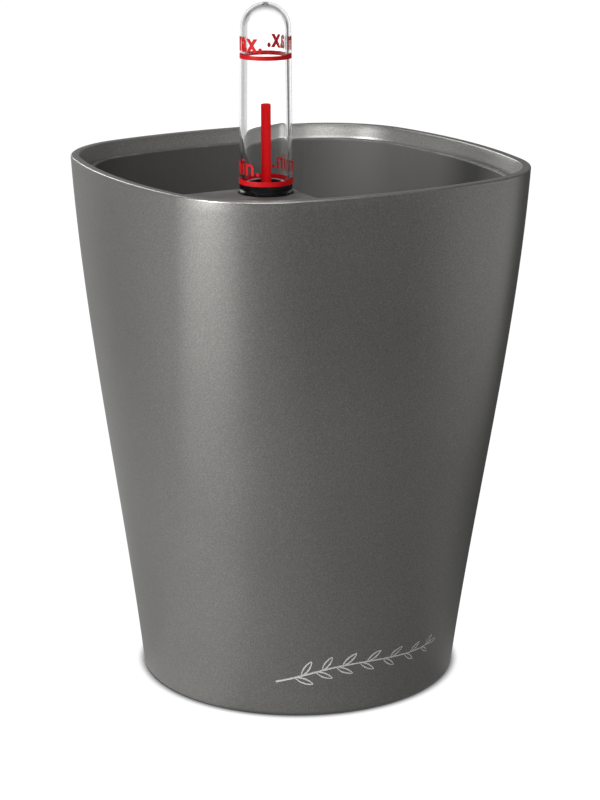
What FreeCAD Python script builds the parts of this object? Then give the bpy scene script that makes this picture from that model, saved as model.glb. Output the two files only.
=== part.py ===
"""Self watering table planter with a removable liner and a float level gauge.

Frame: +Z up, origin at the centre of the base, on the surface that the planter stands on. The front
face looks along -Y, and the gauge stands in the front left corner, on the diagonal x = y.
Units are millimetres.

The pot's outline is a rounded square at the rim that turns into a circle at the base. Every outline
has eight arcs, one for each side and one for each corner. The arcs keep their angles from base to
rim, so a wall of constant thickness is the same outline with smaller radii.
"""

import FreeCAD, Part
import math
import os

V = FreeCAD.Vector
UP = V(0, 0, 1)

# ---- outer planter ----
pot_height = 130.0
rim_half_side = 50.8
rim_corner_radius = 26.9
rim_side_radius = 124.9
base_radius = 39.7
wall_swell = 0.217       # how far the wall bulges between base and rim
wall_flick = -0.324      # how much steeper it stands at both ends
pot_wall_base = 2.4      # thickness at the floor
pot_wall_top = 3.75      # thickness at the liner's rim
pot_floor_top = 4.0
lip_width = 2.2          # flat top of the rim, inside which the wall slopes down and in
lip_slope_depth = 3.6
lip_round = 0.4
base_round = 1.0
foot_ring_width = 5.0
foot_recess = 1.2

# ---- liner ----
rim_drop = 3.3           # from the pot's rim down to the liner's rim and deck
rim_gap = 0.4            # all round between pot and liner
liner_wall = 1.6
liner_rim_round = 0.3
deck_thickness = 1.8
liner_floor_height = 38.0    # underside of the liner's floor, above the table
liner_floor_thickness = 2.0
leg_width = 12.0
leg_thickness = 2.4
leg_inset = 8.3          # from the pot's inner wall to the middle of a leg
drain_slot_width = 1.8
drain_slot_length = 8.0
drain_slot_count = 8
drain_circle_radius = 4.5

# ---- corner shaft for the gauge ----
shaft_wall = 1.2
shaft_clearance = 0.3    # round the sight tube in the deck's hole
shaft_reach = 0.65       # from the sight tube's side to the outside of the shaft's flat walls
shaft_corner = 2.5
gauge_wall_gap = 3.6     # from the pot's inner wall at its foot to the gauge

# ---- level gauge ----
tube_radius = 6.3        # at the tube's open end
tube_wall = 1.05
tube_draft = 0.0110      # radius lost for each millimetre of height
tube_below_deck = 2.1
tube_above_rim = 40.75
dome_dimple_radius = 0.8
dome_dimple_depth = 0.6
housing_step = 0.1       # the housing is this much smaller than the tube in radius
housing_bore = 5.0
water_slot_width = 2.6
water_slot_height = 38.0
water_slot_count = 3
foot_cap_height = 2.5
foot_spigot_height = 2.0
foot_spigot_wall = 1.4
foot_hole_radius = 2.3
foot_notch_width = 2.2
foot_notch_height = 1.2
sliding_gap = 0.05       # between pieces pushed together

# ---- guide plug between the tube and the housing ----
plug_depth = 12.0        # into the housing
plug_ridge_height = 1.4
plug_ridge_bite = 0.04   # the ridge grips the tube by this much in radius
plug_top_below_min = 0.7     # from the lower mark's centre down to the ridge's top
plug_bead_width = 1.1
plug_bead_height = 0.45
plug_cup_depth = 1.2
rod_bore_clearance = 0.3

# ---- float and rod ----
rod_radius = 1.15
rod_collar_radius = 2.6
rod_collar_height = 1.0
rod_end_into_float = 14.0
float_gap = 0.5          # radial, in the housing
float_height = 16.0
float_floor_gap = 0.5    # over the foot cap with the float at its lowest
float_chamfer = 0.8

# ---- printed marks ----
min_mark_above_deck = 2.87
mark_distance = 29.0
mark_width_max = 1.0
mark_width_min = 1.15
mark_thickness = 0.06
mark_gap = 0.02
level_now = 17.9         # how far the float stands above its lowest place

# ---- wicks ----
wick_width = 10.0
wick_thickness = 1.8
wick_span = 18.0         # between the middles of its two legs
wick_bend = 1.2
wick_slot_gap = 0.3
wick_above_floor = 1.0   # clear height under its ends, over the pot's floor
wick_from_centre = 20.0  # the two wicks mirror each other about the diagonal through the gauge
wick_offset = 2.0

# ---- derived sizes ----
side_shift = rim_half_side - rim_side_radius
corner_shift = (side_shift + math.sqrt(
    2 * (rim_side_radius - rim_corner_radius) ** 2 - side_shift ** 2)) / 2
tangent_angle = math.atan2(corner_shift, corner_shift - side_shift)

deck_z = pot_height - rim_drop
liner_floor_top = liner_floor_height + liner_floor_thickness
liner_outer = pot_wall_top + rim_gap
liner_inner = liner_outer + liner_wall

housing_radius = tube_radius - housing_step
gauge_diagonal = base_radius - pot_wall_base - gauge_wall_gap - housing_radius
gauge_x = -gauge_diagonal / math.sqrt(2)
gauge_y = gauge_x
shaft_bore = tube_radius + shaft_clearance

tube_bottom = deck_z - tube_below_deck
tube_top = pot_height + tube_above_rim
dome_radius = (tube_radius - tube_draft * (tube_top - tube_bottom)) / (1 - tube_draft)
min_mark_z = deck_z + min_mark_above_deck
max_mark_z = min_mark_z + mark_distance
plug_ridge_top = min_mark_z - plug_top_below_min
plug_ridge_bottom = plug_ridge_top - plug_ridge_height

foot_cap_top = pot_floor_top + foot_cap_height
float_bottom = foot_cap_top + foot_spigot_height + float_floor_gap + level_now
float_top = float_bottom + float_height
float_radius = housing_bore - float_gap
rod_top = min_mark_z + level_now

PARTS = "parts"


def rise(z):
    """Share of the way from the base outline to the rim outline at height z."""
    t = z / pot_height
    return t + wall_swell * t * (1 - t) + wall_flick * t * (1 - t) * (1 - 2 * t)


def arc(centre, radius, start, end, z):
    """Arc about a centre in plan, from one angle to another in radians."""
    middle = (start + end) / 2
    places = [V(centre[0] + radius * math.cos(a), centre[1] + radius * math.sin(a), z)
              for a in (start, middle, end)]
    return Part.Arc(*places).toShape()


def outline(z, inset):
    """The pot's outline at height z, moved inwards by inset."""
    share = rise(z)
    side_radius = (1 - share) * base_radius + share * rim_side_radius - inset
    corner_radius = (1 - share) * base_radius + share * rim_corner_radius - inset
    edges = []
    for quarter in range(4):
        turn = quarter * math.pi / 2
        ahead = (share * side_shift * math.cos(turn), share * side_shift * math.sin(turn))
        edges.append(arc(ahead, side_radius, turn - tangent_angle, turn + tangent_angle, z))
        reach = share * corner_shift * math.sqrt(2)
        between = turn + math.pi / 4
        corner = (reach * math.cos(between), reach * math.sin(between))
        edges.append(arc(corner, corner_radius, turn + tangent_angle,
                         turn + math.pi / 2 - tangent_angle, z))
    return Part.Wire(edges)


def pot_solid(bottom, top, inset, top_inset=None, sections=6):
    """Solid with the pot's shape between two heights, moved inwards by inset.

    With top_inset, the inset runs evenly from inset at the bottom to top_inset at the top.
    """
    last_inset = inset if top_inset is None else top_inset
    wires = []
    for i in range(sections):
        part_way = i / (sections - 1)
        wires.append(outline(bottom + (top - bottom) * part_way,
                             inset + (last_inset - inset) * part_way))
    return Part.makeLoft(wires, True, False)


def block(x0, y0, z0, x1, y1, z1):
    """Box between two corners."""
    return Part.makeBox(x1 - x0, y1 - y0, z1 - z0, V(x0, y0, z0))


def disc(radius, z0, z1, x=gauge_x, y=gauge_y):
    """Upright cylinder, on the gauge's axis unless told otherwise."""
    return Part.makeCylinder(radius, z1 - z0, V(x, y, z0), UP)


def turned(points):
    """Solid of revolution on the gauge's axis from (radius, height) points, straight between them."""
    places = [V(gauge_x + r, gauge_y, z) for r, z in points]
    face = Part.Face(Part.makePolygon(places + places[:1]))
    return face.revolve(V(gauge_x, gauge_y, 0), UP, 360)


def edges_at(shape, z):
    """Edges of a shape that lie wholly at height z."""
    return [e for e in shape.Edges
            if abs(e.BoundBox.ZMin - z) < 1e-3 and abs(e.BoundBox.ZMax - z) < 1e-3]


def tube_outer_radius(z):
    """Outer radius of the sight tube at height z. It narrows upwards."""
    return tube_radius - tube_draft * (z - tube_bottom)


# ---------------------------------------------------------------- planter
def make_planter_shell():
    """Outer pot: one moulding with a flat lip, a sloped inner edge, a closed floor and a foot ring."""
    body = pot_solid(0, pot_height, 0)
    body = body.makeFillet(base_round, edges_at(body, 0))
    slope_foot = pot_height - lip_slope_depth
    cavity = pot_solid(pot_floor_top, slope_foot, pot_wall_base, pot_wall_top)
    mouth = pot_solid(slope_foot, pot_height, pot_wall_top, lip_width, 3)
    recess = disc(base_radius - foot_ring_width, -1, foot_recess, 0, 0)
    shell = body.cut(cavity).cut(mouth).cut(recess)
    return shell.makeFillet(lip_round, edges_at(shell, pot_height))


# ---------------------------------------------------------------- liner
def shaft_plan(thickness, bottom, top):
    """Prism over the front left corner: two flat walls with a rounded corner, and a round bulge
    that follows the gauge. The thickness is what is left of the shaft's wall around it."""
    far = 2 * rim_half_side
    edge = tube_radius + shaft_reach - shaft_wall + thickness
    walls = block(gauge_x - far, gauge_y - far, bottom, gauge_x + edge, gauge_y + edge, top)
    corner = [e for e in walls.Edges if abs(e.BoundBox.XMin - gauge_x - edge) < 1e-6
              and abs(e.BoundBox.YMin - gauge_y - edge) < 1e-6]
    walls = walls.makeFillet(shaft_corner - shaft_wall + thickness, corner)
    return walls.fuse(disc(shaft_bore + thickness, bottom, top)).removeSplitter()


def wick_places():
    """Plan place of each wick's middle, and the angle it is turned by in degrees."""
    return [((wick_offset, wick_from_centre), 0), ((wick_from_centre, wick_offset), 90)]


def wick_slots():
    """The slots in the liner's floor that the wicks hang through."""
    slots = []
    half = wick_thickness / 2 + wick_slot_gap
    reach = wick_width / 2 + wick_slot_gap
    for (x, y), angle in wick_places():
        for side in (-1, 1):
            middle = side * wick_span / 2
            slot = block(middle - half, -reach, liner_floor_height - 1,
                         middle + half, reach, liner_floor_top + 1)
            slot.rotate(V(0, 0, 0), UP, angle)
            slot.translate(V(x, y, 0))
            slots.append(slot)
    return slots


def drain_slots():
    """Star of slots in the middle of the liner's floor."""
    slots = []
    for i in range(drain_slot_count):
        slot = block(drain_circle_radius, -drain_slot_width / 2, liner_floor_height - 1,
                     drain_circle_radius + drain_slot_length, drain_slot_width / 2,
                     liner_floor_top + 1)
        slot.rotate(V(0, 0, 0), UP, 360.0 * (i + 0.5) / drain_slot_count)
        slots.append(slot)
    return slots


def liner_legs():
    """Four upright plates that stand on the pot's floor and carry the liner."""
    legs = []
    reach = base_radius - pot_wall_base - leg_inset
    for i in range(4):
        leg = block(reach - leg_thickness / 2, -leg_width / 2, pot_floor_top,
                    reach + leg_thickness / 2, leg_width / 2,
                    liner_floor_height + liner_floor_thickness / 2)
        leg.rotate(V(0, 0, 0), UP, 90 * i)
        legs.append(leg)
    return legs


def make_planter_liner():
    """Removable inner pot: plain rim, corner deck with the gauge's shaft, slotted floor, four legs."""
    body = pot_solid(liner_floor_height, deck_z, liner_outer)
    hollow = pot_solid(liner_floor_top, deck_z + 1, liner_inner)
    hollow = hollow.cut(shaft_plan(shaft_wall, liner_floor_top - 1, deck_z + 2))
    shaft = pot_solid(liner_floor_height - 1, deck_z - deck_thickness, liner_inner)
    shaft = shaft.common(shaft_plan(0, liner_floor_height - 2, deck_z))
    body = body.cut(hollow)
    body = body.makeFillet(liner_rim_round, edges_at(body, deck_z))
    body = body.cut(shaft).cut(disc(shaft_bore, deck_z - 2 * deck_thickness, deck_z + 1))
    for slot in wick_slots() + drain_slots():
        body = body.cut(slot)
    for leg in liner_legs():
        body = body.fuse(leg)
    return body.removeSplitter()


def make_wick(place, angle):
    """Felt strip over the liner's floor, with both ends hanging down through slots into the water."""
    bottom = pot_floor_top + wick_above_floor
    top = liner_floor_top + wick_thickness
    half = wick_span / 2 + wick_thickness / 2
    strip = block(-half, -wick_width / 2, bottom, half, wick_width / 2, top)
    inner = half - wick_thickness
    strip = strip.cut(block(-inner, -wick_width, bottom - 1,
                            inner, wick_width, top - wick_thickness))
    bends = [e for e in edges_at(strip, top)
             if e.BoundBox.XMax - e.BoundBox.XMin < 1e-6]
    strip = strip.makeFillet(wick_bend, bends)
    strip.rotate(V(0, 0, 0), UP, angle)
    strip.translate(V(place[0], place[1], 0))
    return strip


# ---------------------------------------------------------------- level gauge
def make_sight_tube():
    """Clear tube with a round dome, open at the bottom, with the small dimple of its mould gate."""
    def bullet(inset, bottom):
        """Solid with the tube's shape, moved inwards by inset, down to the given height."""
        shoulder = tube_top - dome_radius
        radius = dome_radius - inset
        foot = V(gauge_x + tube_outer_radius(bottom) - inset, gauge_y, bottom)
        side_top = V(gauge_x + radius, gauge_y, shoulder)
        half_way = radius * math.sin(math.pi / 4)
        middle = V(gauge_x + half_way, gauge_y, shoulder + half_way)
        crown = V(gauge_x, gauge_y, shoulder + radius)
        axis_foot = V(gauge_x, gauge_y, bottom)
        wire = Part.Wire([Part.makeLine(axis_foot, foot), Part.makeLine(foot, side_top),
                          Part.Arc(side_top, middle, crown).toShape(),
                          Part.makeLine(crown, axis_foot)])
        return Part.Face(wire).revolve(V(gauge_x, gauge_y, 0), UP, 360)

    dimple = Part.makeCone(0, dome_dimple_radius * 2, dome_dimple_depth * 2,
                           V(gauge_x, gauge_y, tube_top - dome_dimple_depth), UP)
    return bullet(0, tube_bottom).cut(bullet(tube_wall, tube_bottom - 1)).cut(dimple)


def make_guide_plug():
    """Black plug that joins tube and housing and guides the rod: a spigot each way, a gripping ridge,
    and a beaded rim round a shallow cup."""
    in_housing = housing_bore - sliding_gap
    in_tube = tube_outer_radius(plug_ridge_top) - tube_wall - 3 * sliding_gap
    ridge = tube_outer_radius(plug_ridge_top) - tube_wall + plug_ridge_bite
    bore = rod_radius + rod_bore_clearance
    cup = in_tube - plug_bead_width
    return turned([
        (bore, tube_bottom - plug_depth), (in_housing, tube_bottom - plug_depth),
        (in_housing, tube_bottom), (in_tube, tube_bottom),
        (in_tube, plug_ridge_bottom), (ridge, plug_ridge_bottom), (ridge, plug_ridge_top),
        (in_tube, plug_ridge_top), (in_tube - plug_bead_width / 3, plug_ridge_top + plug_bead_height),
        (cup + plug_bead_width / 3, plug_ridge_top + plug_bead_height), (cup, plug_ridge_top),
        (cup, plug_ridge_top - plug_cup_depth), (bore, plug_ridge_top - plug_cup_depth)])


def make_float_housing():
    """Long tube under the sight tube that the float rises in, slotted where it stands in the water."""
    pipe = disc(housing_radius, foot_cap_top, tube_bottom).cut(
        disc(housing_bore, foot_cap_top - 1, tube_bottom + 1))
    slot_bottom = foot_cap_top + foot_spigot_height + 1
    for i in range(water_slot_count):
        slot = block(0, -water_slot_width / 2, slot_bottom, housing_radius + 1,
                     water_slot_width / 2, slot_bottom + water_slot_height)
        slot.rotate(V(0, 0, 0), UP, 45 + 360.0 * i / water_slot_count)
        slot.translate(V(gauge_x, gauge_y, 0))
        pipe = pipe.cut(slot)
    return pipe


def make_housing_foot():
    """Cap in the housing's lower end, with notches under it that let the water in."""
    cap = disc(housing_radius, pot_floor_top, foot_cap_top).fuse(
        disc(housing_bore - sliding_gap, foot_cap_top, foot_cap_top + foot_spigot_height))
    cap = cap.cut(disc(housing_bore - foot_spigot_wall, pot_floor_top + foot_notch_height,
                       foot_cap_top + foot_spigot_height + 1))
    cap = cap.cut(disc(foot_hole_radius, pot_floor_top - 1, foot_cap_top))
    for i in range(2):
        notch = block(-housing_radius - 1, -foot_notch_width / 2, pot_floor_top - 1,
                      housing_radius + 1, foot_notch_width / 2, pot_floor_top + foot_notch_height)
        notch.rotate(V(0, 0, 0), UP, 90 * i)
        notch.translate(V(gauge_x, gauge_y, 0))
        cap = cap.cut(notch)
    return cap.removeSplitter()


def make_level_float():
    """Closed-cell foam float with a blind bore for the rod."""
    body = turned([
        (0, float_bottom), (float_radius - float_chamfer, float_bottom),
        (float_radius, float_bottom + float_chamfer), (float_radius, float_top - float_chamfer),
        (float_radius - float_chamfer, float_top), (0, float_top)])
    return body.cut(disc(rod_radius, float_top - rod_end_into_float, float_top + 1))


def make_float_rod():
    """Red rod that stands in the float and shows the level in the sight tube."""
    rod_end = float_top - rod_end_into_float
    edge = rod_radius / 4
    return turned([
        (0, rod_end), (rod_radius, rod_end), (rod_radius, float_top),
        (rod_collar_radius, float_top), (rod_collar_radius, float_top + rod_collar_height),
        (rod_radius, float_top + rod_collar_height), (rod_radius, rod_top - edge),
        (rod_radius - edge, rod_top), (0, rod_top)])


def make_mark(z, width):
    """Printed ring round the sight tube, centred at height z."""
    low, high = z - width / 2, z + width / 2
    at_low = tube_outer_radius(low) + mark_gap
    at_high = tube_outer_radius(high) + mark_gap
    return turned([(at_low, low), (at_low + mark_thickness, low),
                   (at_high + mark_thickness, high), (at_high, high)])


def main():
    """Build every piece and write it to its own file."""
    os.makedirs(PARTS, exist_ok=True)
    first, second = wick_places()
    pieces = {
        "planter_shell": make_planter_shell(),
        "planter_liner": make_planter_liner(),
        "wick_back": make_wick(*first),
        "wick_right": make_wick(*second),
        "sight_tube": make_sight_tube(),
        "guide_plug": make_guide_plug(),
        "float_housing": make_float_housing(),
        "housing_foot": make_housing_foot(),
        "level_float": make_level_float(),
        "float_rod": make_float_rod(),
        "max_mark": make_mark(max_mark_z, mark_width_max),
        "min_mark": make_mark(min_mark_z, mark_width_min),
    }
    for name, shape in pieces.items():
        solids = shape.Solids
        whole = Part.makeCompound(solids) if len(solids) > 1 else solids[0]
        whole.exportStep(os.path.join(PARTS, name + ".step"))
        print(name, "solids", len(solids), "valid", whole.isValid(), "volume", round(whole.Volume, 1))


main()
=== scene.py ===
"""Looks of a self watering table planter with a lift-out liner and a float level gauge.

Metres, +Z up, origin at the centre of the base. The gauge stands in the front left corner.
"""

import logging
import math
from collections.abc import Callable, Iterable
from dataclasses import dataclass, field
from enum import Enum

import bmesh
import bpy
from mathutils import Matrix, Vector, noise


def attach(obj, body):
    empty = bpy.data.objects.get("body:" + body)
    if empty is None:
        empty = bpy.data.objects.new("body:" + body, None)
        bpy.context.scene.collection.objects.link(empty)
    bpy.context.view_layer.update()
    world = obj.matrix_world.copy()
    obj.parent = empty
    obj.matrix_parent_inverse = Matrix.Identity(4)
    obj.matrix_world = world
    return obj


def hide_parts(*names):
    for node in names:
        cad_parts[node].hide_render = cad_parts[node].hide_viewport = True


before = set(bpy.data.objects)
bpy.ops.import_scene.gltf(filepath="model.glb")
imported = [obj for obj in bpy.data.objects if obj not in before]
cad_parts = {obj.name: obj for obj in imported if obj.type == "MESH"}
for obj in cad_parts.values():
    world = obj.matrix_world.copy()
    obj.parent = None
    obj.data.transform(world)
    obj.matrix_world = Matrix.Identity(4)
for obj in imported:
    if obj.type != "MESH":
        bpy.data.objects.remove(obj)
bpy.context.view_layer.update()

LOG = logging.getLogger("planter")
TURN = 2.0 * math.pi


class Body(Enum):
    """Bodies that pieces ride on."""

    POT = "pot"
    LINER = "liner"
    GAUGE = "gauge"
    FLOAT = "float"


class Word(Enum):
    """Words printed round the sight tube, each over its own mark."""

    MAX = "max."
    MIN = "min."


@dataclass(frozen=True)
class Lettering:
    """How a word is set round the tube: angles in degrees, and lengths."""

    end: float
    turn: float
    lift: float
    stretch: float
    size: float
    spacing: float
    weight: float


LETTERINGS = {Word.MAX: Lettering(234.2, 183.3, 0.00096, 1.27, 0.0047, 1.16, 0.00018),
              Word.MIN: Lettering(228.5, 180.0, 0.0014, 1.05, 0.0054, 1.06, 0.00008)}


# ------------------------------------------------------------------ shader helpers


class Shader:
    """Nodes and links of one material or node group."""

    def __init__(self, tree: bpy.types.NodeTree) -> None:
        """Keeps the tree that nodes are added to."""
        self.tree = tree

    def add(self, kind: str, **values: object) -> bpy.types.Node:
        """Adds a node.

        Args:
            kind: Blender's name for the node type.
            values: attributes to set on the node.

        Returns:
            The new node.
        """
        node = self.tree.nodes.new(kind)
        for name, value in values.items():
            setattr(node, name, value)
        return node

    def link(self, out: bpy.types.NodeSocket, into: bpy.types.NodeSocket) -> None:
        """Joins an output socket to an input socket."""
        self.tree.links.new(out, into)

    def give(self, value: object, into: bpy.types.NodeSocket) -> None:
        """Feeds a socket, a number or a colour into an input."""
        if isinstance(value, bpy.types.NodeSocket):
            self.link(value, into)
        else:
            into.default_value = value

    def feed(self, node: bpy.types.Node, **values: object) -> None:
        """Feeds a node's inputs, by name with _ for each space, from sockets, numbers or colours."""
        for title, value in values.items():
            self.give(value, node.inputs[title.replace("_", " ")])

    def object_place(self) -> bpy.types.NodeSocket:
        """Returns the place on the piece, in metres in the CAD frame."""
        return self.add("ShaderNodeTexCoord").outputs["Object"]

    def upward(self, way: bpy.types.NodeSocket) -> bpy.types.NodeSocket:
        """Returns the Z part of a vector."""
        split = self.add("ShaderNodeSeparateXYZ")
        self.link(way, split.inputs[0])
        return split.outputs["Z"]

    def math(self, operation: str, first: object, second: object = 0.0) -> bpy.types.NodeSocket:
        """Adds a Math node.

        Args:
            operation: the node's operation.
            first: a socket or a number.
            second: a socket or a number.

        Returns:
            The node's result.
        """
        node = self.add("ShaderNodeMath", operation=operation)
        self.give(first, node.inputs[0])
        self.give(second, node.inputs[1])
        return node.outputs[0]

    def spread(self, value: bpy.types.NodeSocket, low: float, high: float,
               to_low: float = 0.0, to_high: float = 1.0) -> bpy.types.NodeSocket:
        """Maps a value smoothly from one range to another.

        Args:
            value: the socket to map.
            low: value that gives to_low.
            high: value that gives to_high.
            to_low: result at the low end.
            to_high: result at the high end.

        Returns:
            The mapped value.
        """
        node = self.add("ShaderNodeMapRange", interpolation_type="SMOOTHSTEP")
        self.feed(node, Value=value, From_Min=low, From_Max=high, To_Min=to_low, To_Max=to_high)
        return node.outputs["Result"]

    def noise(self, place: bpy.types.NodeSocket, scale: object, detail: float = 2.0,
              rough: float = 0.5) -> bpy.types.NodeSocket:
        """Adds a noise pattern.

        Args:
            place: coordinates to read.
            scale: a socket or a number, in patterns per metre.
            detail: octaves of finer pattern.
            rough: strength of the finer octaves.

        Returns:
            The noise value, from 0 to 1.
        """
        node = self.add("ShaderNodeTexNoise")
        self.feed(node, Vector=place, Scale=scale, Detail=detail, Roughness=rough)
        return node.outputs["Fac"]

    def blend(self, amount: object, first: object, second: object, mode: str = "MIX") -> bpy.types.NodeSocket:
        """Mixes two colours.

        Args:
            amount: share of the second colour, a socket or a number.
            first: a socket or a colour.
            second: a socket or a colour.
            mode: how the colours combine.

        Returns:
            The mixed colour.
        """
        node = self.add("ShaderNodeMix", data_type="RGBA", blend_type=mode)
        for name, value in (("Factor_Float", amount), ("A_Color", first), ("B_Color", second)):
            self.give(value, next(s for s in node.inputs if s.identifier == name))
        return next(s for s in node.outputs if s.identifier == "Result_Color")

    def toned(self, colour: object, value: bpy.types.NodeSocket) -> bpy.types.NodeSocket:
        """Multiplies a colour by a brightness.

        Args:
            colour: a socket or a colour.
            value: the brightness.

        Returns:
            The darker or lighter colour.
        """
        tint = self.add("ShaderNodeCombineColor")
        for channel in tint.inputs:
            self.link(value, channel)
        return self.blend(1.0, colour, tint.outputs[0], "MULTIPLY")


class Effect:
    """A node group with named inputs and outputs, built once and shared by materials."""

    made: dict[str, bpy.types.NodeTree] = {}

    def __init__(self, name: str, inputs: dict[str, tuple[str, object]], outputs: dict[str, str]) -> None:
        """Makes the group's sockets.

        Args:
            name: the group's name.
            inputs: socket name to its kind and default value.
            outputs: socket name to its kind.
        """
        self.tree = bpy.data.node_groups.new(name, "ShaderNodeTree")
        for title, (kind, value) in inputs.items():
            socket = self.tree.interface.new_socket(title, in_out="INPUT", socket_type=kind)
            socket.default_value = value
        for title, kind in outputs.items():
            self.tree.interface.new_socket(title, in_out="OUTPUT", socket_type=kind)
        self.nodes = Shader(self.tree)
        self.given = self.nodes.add("NodeGroupInput").outputs
        self.result = self.nodes.add("NodeGroupOutput").inputs
        Effect.made[name] = self.tree

    @staticmethod
    def place(shader: Shader, name: str, **values: object) -> bpy.types.Node:
        """Places a group in a material.

        Args:
            shader: the material's nodes.
            name: the group's name.
            values: numbers, colours or sockets for its inputs, with _ for each space.

        Returns:
            The group node.
        """
        node = shader.add("ShaderNodeGroup", node_tree=Effect.made[name])
        shader.feed(node, **values)
        return node


NUMBER = "NodeSocketFloat"
COLOUR = "NodeSocketColor"
WEAR_AND_HIGHLIGHT_TONE = (0.62, 0.61, 0.58, 1.0)
DUST = (0.55, 0.53, 0.5, 1.0)


def build_flake_effect() -> None:
    """Builds the group for lacquer with fine metal flake: speckle in colour, gloss and height."""
    group = Effect("metal_flake",
                   {"Paint": (COLOUR, (0.2, 0.2, 0.2, 1.0)), "Flake": (COLOUR, (0.5, 0.5, 0.5, 1.0)),
                    "Flake Share": (NUMBER, 0.3), "Flakes per Metre": (NUMBER, 3000.0),
                    "Gloss Loss": (NUMBER, 0.4)},
                   {"Color": COLOUR, "Roughness": NUMBER, "Height": NUMBER})
    nodes = group.nodes
    place = nodes.object_place()
    grain = nodes.noise(place, group.given["Flakes per Metre"], 1.5, 0.6)
    speck = nodes.spread(grain, 0.30, 0.80)
    cloud = nodes.noise(place, 28.0, 3.0, 0.5)
    share = nodes.math("MULTIPLY", speck, group.given["Flake Share"])
    paint = nodes.blend(share, group.given["Paint"], group.given["Flake"])
    shade = nodes.spread(cloud, 0.3, 0.7, 0.97, 1.03)
    nodes.link(nodes.toned(paint, shade), group.result["Color"])
    wander = nodes.math("MULTIPLY", nodes.math("SUBTRACT", grain, 0.5), 0.10)
    drift = nodes.math("MULTIPLY", nodes.math("SUBTRACT", cloud, 0.5), 0.05)
    rough = nodes.math("ADD", group.given["Gloss Loss"], nodes.math("ADD", wander, drift))
    nodes.link(rough, group.result["Roughness"])
    nodes.link(grain, group.result["Height"])


def build_wear_and_highlight_effect() -> None:
    """Builds the group for a slightly polished, paler band round a height: handling wear on the pot's rim,
    and a painted highlight on the liner's top edge and the plug's bead.
    """
    group = Effect("worn_and_highlit_edge",
                   {"Color": (COLOUR, (0.2, 0.2, 0.2, 1.0)), "Roughness": (NUMBER, 0.4),
                    "Edge Height": (NUMBER, 0.13), "Band": (NUMBER, 0.002), "Paleness": (NUMBER, 0.2),
                    "Polish": (NUMBER, 0.1)},
                   {"Color": COLOUR, "Roughness": NUMBER})
    nodes = group.nodes
    place = nodes.object_place()
    away = nodes.math("ABSOLUTE", nodes.math("SUBTRACT", nodes.upward(place), group.given["Edge Height"]))
    near = nodes.math("SUBTRACT", 1.0, nodes.math("DIVIDE", away, group.given["Band"]))
    near = nodes.math("MAXIMUM", near, 0.0)
    patchy = nodes.spread(nodes.noise(place, 190.0, 4.0, 0.6), 0.35, 0.75)
    # The paler band is handling wear on the pot; on the liner and the plug it is a painted highlight.
    paled = nodes.math("MULTIPLY", nodes.math("MULTIPLY", near, patchy), group.given["Paleness"])
    nodes.link(nodes.blend(paled, group.given["Color"], WEAR_AND_HIGHLIGHT_TONE), group.result["Color"])
    gloss = nodes.math("MULTIPLY", nodes.spread(near, 0.0, 0.6), group.given["Polish"])
    nodes.link(nodes.math("SUBTRACT", group.given["Roughness"], gloss), group.result["Roughness"])


def build_mould_effect() -> None:
    """Builds the group for moulded plastic: fine texture, soft flow marks and faint dust."""
    group = Effect("moulded_grain",
                   {"Color": (COLOUR, (0.1, 0.1, 0.1, 1.0)), "Roughness": (NUMBER, 0.5),
                    "Grains per Metre": (NUMBER, 2200.0), "Mottle": (NUMBER, 0.15), "Dust": (NUMBER, 0.05)},
                   {"Color": COLOUR, "Roughness": NUMBER, "Height": NUMBER})
    nodes = group.nodes
    place = nodes.object_place()
    grain = nodes.noise(place, group.given["Grains per Metre"], 2.0, 0.55)
    flow = nodes.noise(place, 60.0, 3.0, 0.6)
    mottle = nodes.math("MULTIPLY", nodes.math("SUBTRACT", grain, 0.5), group.given["Mottle"])
    value = nodes.math("ADD", 1.0, nodes.math("ADD", mottle, nodes.math("MULTIPLY", mottle, flow)))
    toned = nodes.toned(group.given["Color"], value)
    dusty = nodes.math("MULTIPLY", nodes.spread(flow, 0.45, 0.8), group.given["Dust"])
    nodes.link(nodes.blend(dusty, toned, DUST), group.result["Color"])
    rough = nodes.math("ADD", group.given["Roughness"], nodes.math("MULTIPLY", mottle, 0.35))
    nodes.link(nodes.math("ADD", rough, nodes.math("MULTIPLY", dusty, 0.5)), group.result["Roughness"])
    nodes.link(grain, group.result["Height"])


# ------------------------------------------------------------------ finishes


@dataclass(frozen=True)
class Finish:
    """What every finish has: a name and a bump from the height its pattern gives."""

    name: str
    bump: float = 0.05
    bump_depth: float = 0.00005

    def start(self) -> tuple[bpy.types.Material, Shader, bpy.types.Node]:
        """Makes the material with its main shader.

        Returns:
            The material, its nodes and the Principled shader.
        """
        material = bpy.data.materials.new(self.name)
        material.use_nodes = True
        shader = Shader(material.node_tree)
        material.node_tree.nodes.clear()
        surface = shader.add("ShaderNodeBsdfPrincipled")
        out = shader.add("ShaderNodeOutputMaterial")
        shader.link(surface.outputs["BSDF"], out.inputs["Surface"])
        return material, shader, surface

    def raise_grain(self, shader: Shader, surface: bpy.types.Node, height: bpy.types.NodeSocket) -> None:
        """Feeds a height into the surface's normal.

        Args:
            shader: the material's nodes.
            surface: the Principled shader.
            height: pattern height, from 0 to 1.
        """
        node = shader.add("ShaderNodeBump")
        shader.feed(node, Strength=self.bump, Distance=self.bump_depth, Height=height)
        shader.link(node.outputs["Normal"], surface.inputs["Normal"])


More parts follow.
